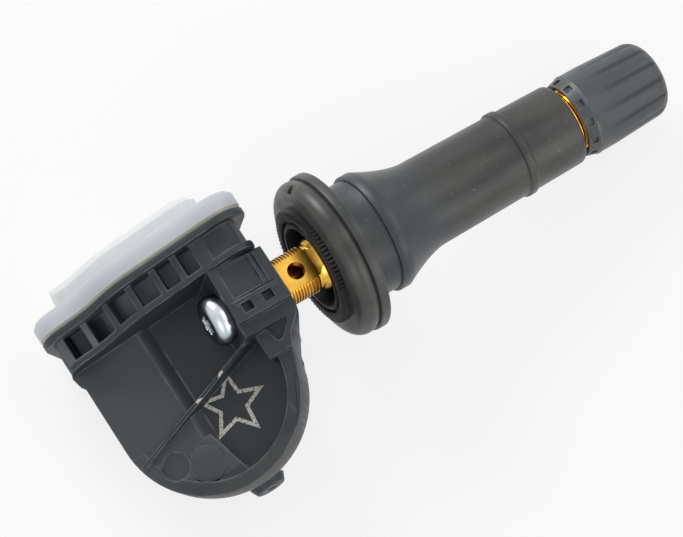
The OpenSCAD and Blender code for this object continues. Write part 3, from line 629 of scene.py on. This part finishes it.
# The spring of the core shortens from its outer end as the pin is pressed in; here a welded,
# smooth-shaded copy of it takes its place, left at its rest length
spring = {
    "node": "core_spring",
    "piece": "pressedSpring",
    "joint": "core_press",
    "travel": 1.2 * mm,
    "weld": 0.002 * mm,
    "smooth": 50,
}


def addSpring(values):
    piece = cadCopy(values["node"], values["piece"], values["weld"])
    bpy.ops.object.shade_smooth_by_angle(angle=math.radians(values["smooth"]))
    dress(piece, slotOf[values["node"]])
    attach(piece, bodyOf[values["node"]])
    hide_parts(values["node"])
    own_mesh(piece)


addSpring(spring)

# Plain outline star, etched into the tray floor and over what stands on it
star = {
    "points": 5,
    "centre": (-18.06 * mm, -8.04 * mm, 9 * mm),  # in the frame of the case, above the tray
    "tip": 4.05 * mm,
    "waist": 0.45,
    "band": 0.42 * mm,
    "depth": 0.012 * mm,
    "turn": -19,
    "firstTip": 90,
    "cuts": 15,
    "flattest": 0.75,
}
etched = {
    "pale": (0.60, 0.58, 0.54),
    "gap": (0.10, 0.10, 0.10),
    "speckle": {"scale": 5200, "detail": 2, "stops": (0.36, 0.47),
                "depth": 0.02 * mm, "strength": 0.4},
    "roughness": 0.7,
}


def etchedMaterial(name, values):
    material, tree, shader, place = newMaterial(name)
    base = patterned(tree, place, values["speckle"], (values["gap"], values["pale"]))
    tree.links.new(base, shader.inputs["Base Color"])
    shader.inputs["Roughness"].default_value = values["roughness"]
    bumped(tree, shader, place, [values["speckle"]])
    return material


def intoCaseFrame(piece):
    piece.location = (-caseFrame["back"], 0, 0)
    piece.rotation_euler = (0, -caseFrame["tilt"], 0)
    bpy.context.view_layer.update()


# Lays a flat piece down onto the target, just above its surface
def drapeOver(piece, target, offset):
    drape = piece.modifiers.new("drape", "SHRINKWRAP")
    drape.wrap_method = "PROJECT"
    drape.use_project_z = True
    drape.use_positive_direction = False
    drape.use_negative_direction = True
    drape.target = target
    drape.wrap_mode = "ABOVE_SURFACE"
    drape.offset = offset
    bpy.ops.object.modifier_apply(modifier=drape.name)


def addStar(values, target):
    deselectAll()
    bpy.ops.mesh.primitive_circle_add(
        vertices=2 * values["points"], radius=values["tip"], fill_type="NGON",
        location=values["centre"], rotation=(0, 0, math.radians(values["turn"])))
    piece = bpy.context.object
    piece.name = "etchedStar"
    fromTipToWaist = 180 / values["points"]

    def atWaist(vertex):
        turned = math.degrees(math.atan2(vertex.co.y, vertex.co.x)) - values["firstTip"]
        return round(turned / fromTipToWaist) % 2 == 1

    pick(piece, "VERT", atWaist)
    waist = values["waist"]
    bpy.ops.transform.resize(value=(waist, waist, 1), center_override=values["centre"])
    bpy.ops.mesh.select_all(action="SELECT")
    bpy.ops.mesh.inset(thickness=values["band"])
    bpy.ops.mesh.delete(type="FACE")
    bpy.ops.mesh.select_all(action="SELECT")
    bpy.ops.mesh.subdivide(number_cuts=values["cuts"])
    bpy.ops.object.mode_set(mode="OBJECT")
    bpy.ops.object.transform_apply(location=True, rotation=True, scale=True)
    intoCaseFrame(piece)
    drapeOver(piece, target, values["depth"])
    # Faces that hang down the side of a rib carry no mark
    pick(piece, "FACE", lambda face: abs(face.normal.z) < values["flattest"])
    bpy.ops.mesh.delete(type="FACE")
    bpy.ops.object.mode_set(mode="OBJECT")
    solid = piece.modifiers.new("depth", "SOLIDIFY")
    solid.thickness = values["depth"]
    bpy.ops.object.modifier_apply(modifier=solid.name)
    bpy.ops.object.transform_apply(location=True, rotation=True, scale=True)
    piece.data.materials.append(etchedMaterial("etchedMark", etched))
    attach(piece, "root")
    print("piece made: etchedStar", len(piece.data.polygons), "faces")


addStar(star, bpy.data.objects["mouldedCase"])

# Table, soft lights and surroundings
table = {
    "normal": Vector((-0.173, 0, 0.985)).normalized(),  # the sensor rests on its case and its cap
    "drop": 11.7 * mm,
    "size": 3.0,
    "level": 0.93,
    "roughness": 0.9,
    "specular": 0.1,
    "ownWhite": 0.78,
}


# One for rays that show a surface itself, and zero for those that light the scene
def seenStraight(tree):
    rays = tree.nodes.new("ShaderNodeLightPath").outputs
    direct = computed(tree, "MAXIMUM", rays["Is Camera Ray"], rays["Is Glossy Ray"])
    return computed(tree, "MAXIMUM", direct, rays["Is Transmission Ray"])


def mixShaders(tree, factor, first, second, output):
    mix = tree.nodes.new("ShaderNodeMixShader")
    tree.links.new(factor, mix.inputs["Fac"])
    tree.links.new(first.outputs[0], mix.inputs[1])
    tree.links.new(second.outputs[0], mix.inputs[2])
    tree.links.new(mix.outputs[0], tree.nodes[output].inputs["Surface"])


def addTable(values):
    deselectAll()
    bpy.ops.mesh.primitive_plane_add(size=values["size"])
    floor = bpy.context.object
    floor.name = "tableTop"
    turn = values["normal"].to_track_quat("Z", "Y").to_matrix().to_4x4()
    floor.matrix_world = Matrix.Translation(-values["normal"] * values["drop"]) @ turn
    bpy.ops.object.transform_apply(location=True, rotation=True, scale=True)
    material, tree, shader, _ = newMaterial("tableWhite")
    shader.inputs["Base Color"].default_value = asColour(values["level"])
    shader.inputs["Roughness"].default_value = values["roughness"]
    shader.inputs["Specular IOR Level"].default_value = values["specular"]
    glow = tree.nodes.new("ShaderNodeEmission")
    glow.inputs["Strength"].default_value = 1
    share = times(tree, seenStraight(tree), values["ownWhite"])
    mixShaders(tree, share, shader, glow, "Material Output")
    floor.data.materials.append(material)


lights = {
    "key": {"towards": (-0.12, 0.86, 0.45), "distance": 0.62, "size": 0.32, "level": 0.68},
    "lowFill": {"towards": (0.38, -0.80, 0.46), "distance": 0.70, "size": 0.45, "level": 0.20},
    "rightFill": {"towards": (0.62, -0.10, 0.78), "distance": 0.70, "size": 0.45, "level": 0.18},
    "leftFill": {"towards": (-0.75, -0.55, 0.45), "distance": 0.70, "size": 0.45, "level": 0.20},
}
sky = {"level": 0.34, "seenLevel": 1}


# A lamp's power makes a facing white surface render at the lamp's level
def addLight(name, values):
    away = Vector(values["towards"]).normalized()
    deselectAll()
    bpy.ops.object.light_add(type="AREA", location=away * values["distance"])
    lamp = bpy.context.object
    lamp.name = name
    lamp.rotation_euler = away.to_track_quat("Z", "Y").to_euler()
    lamp.data.size = values["size"]
    lamp.data.energy = values["level"] * (math.pi * values["distance"]) ** 2


def addSky(values):
    world = bpy.data.worlds.new("softRoom")
    bpy.context.scene.world = world
    world.use_nodes = True
    tree = world.node_tree
    room = tree.nodes["Background"]
    white = tree.nodes.new("ShaderNodeBackground")
    for background, level in ((room, values["level"]), (white, values["seenLevel"])):
        background.inputs["Color"].default_value = asColour(1)
        background.inputs["Strength"].default_value = level
    mixShaders(tree, seenStraight(tree), room, white, "World Output")


addTable(table)
for name, values in lights.items():
    addLight(name, values)
addSky(sky)
addCamera(view)
bpy.context.scene.view_settings.view_transform = "Standard"
print("stage, lights and camera made")
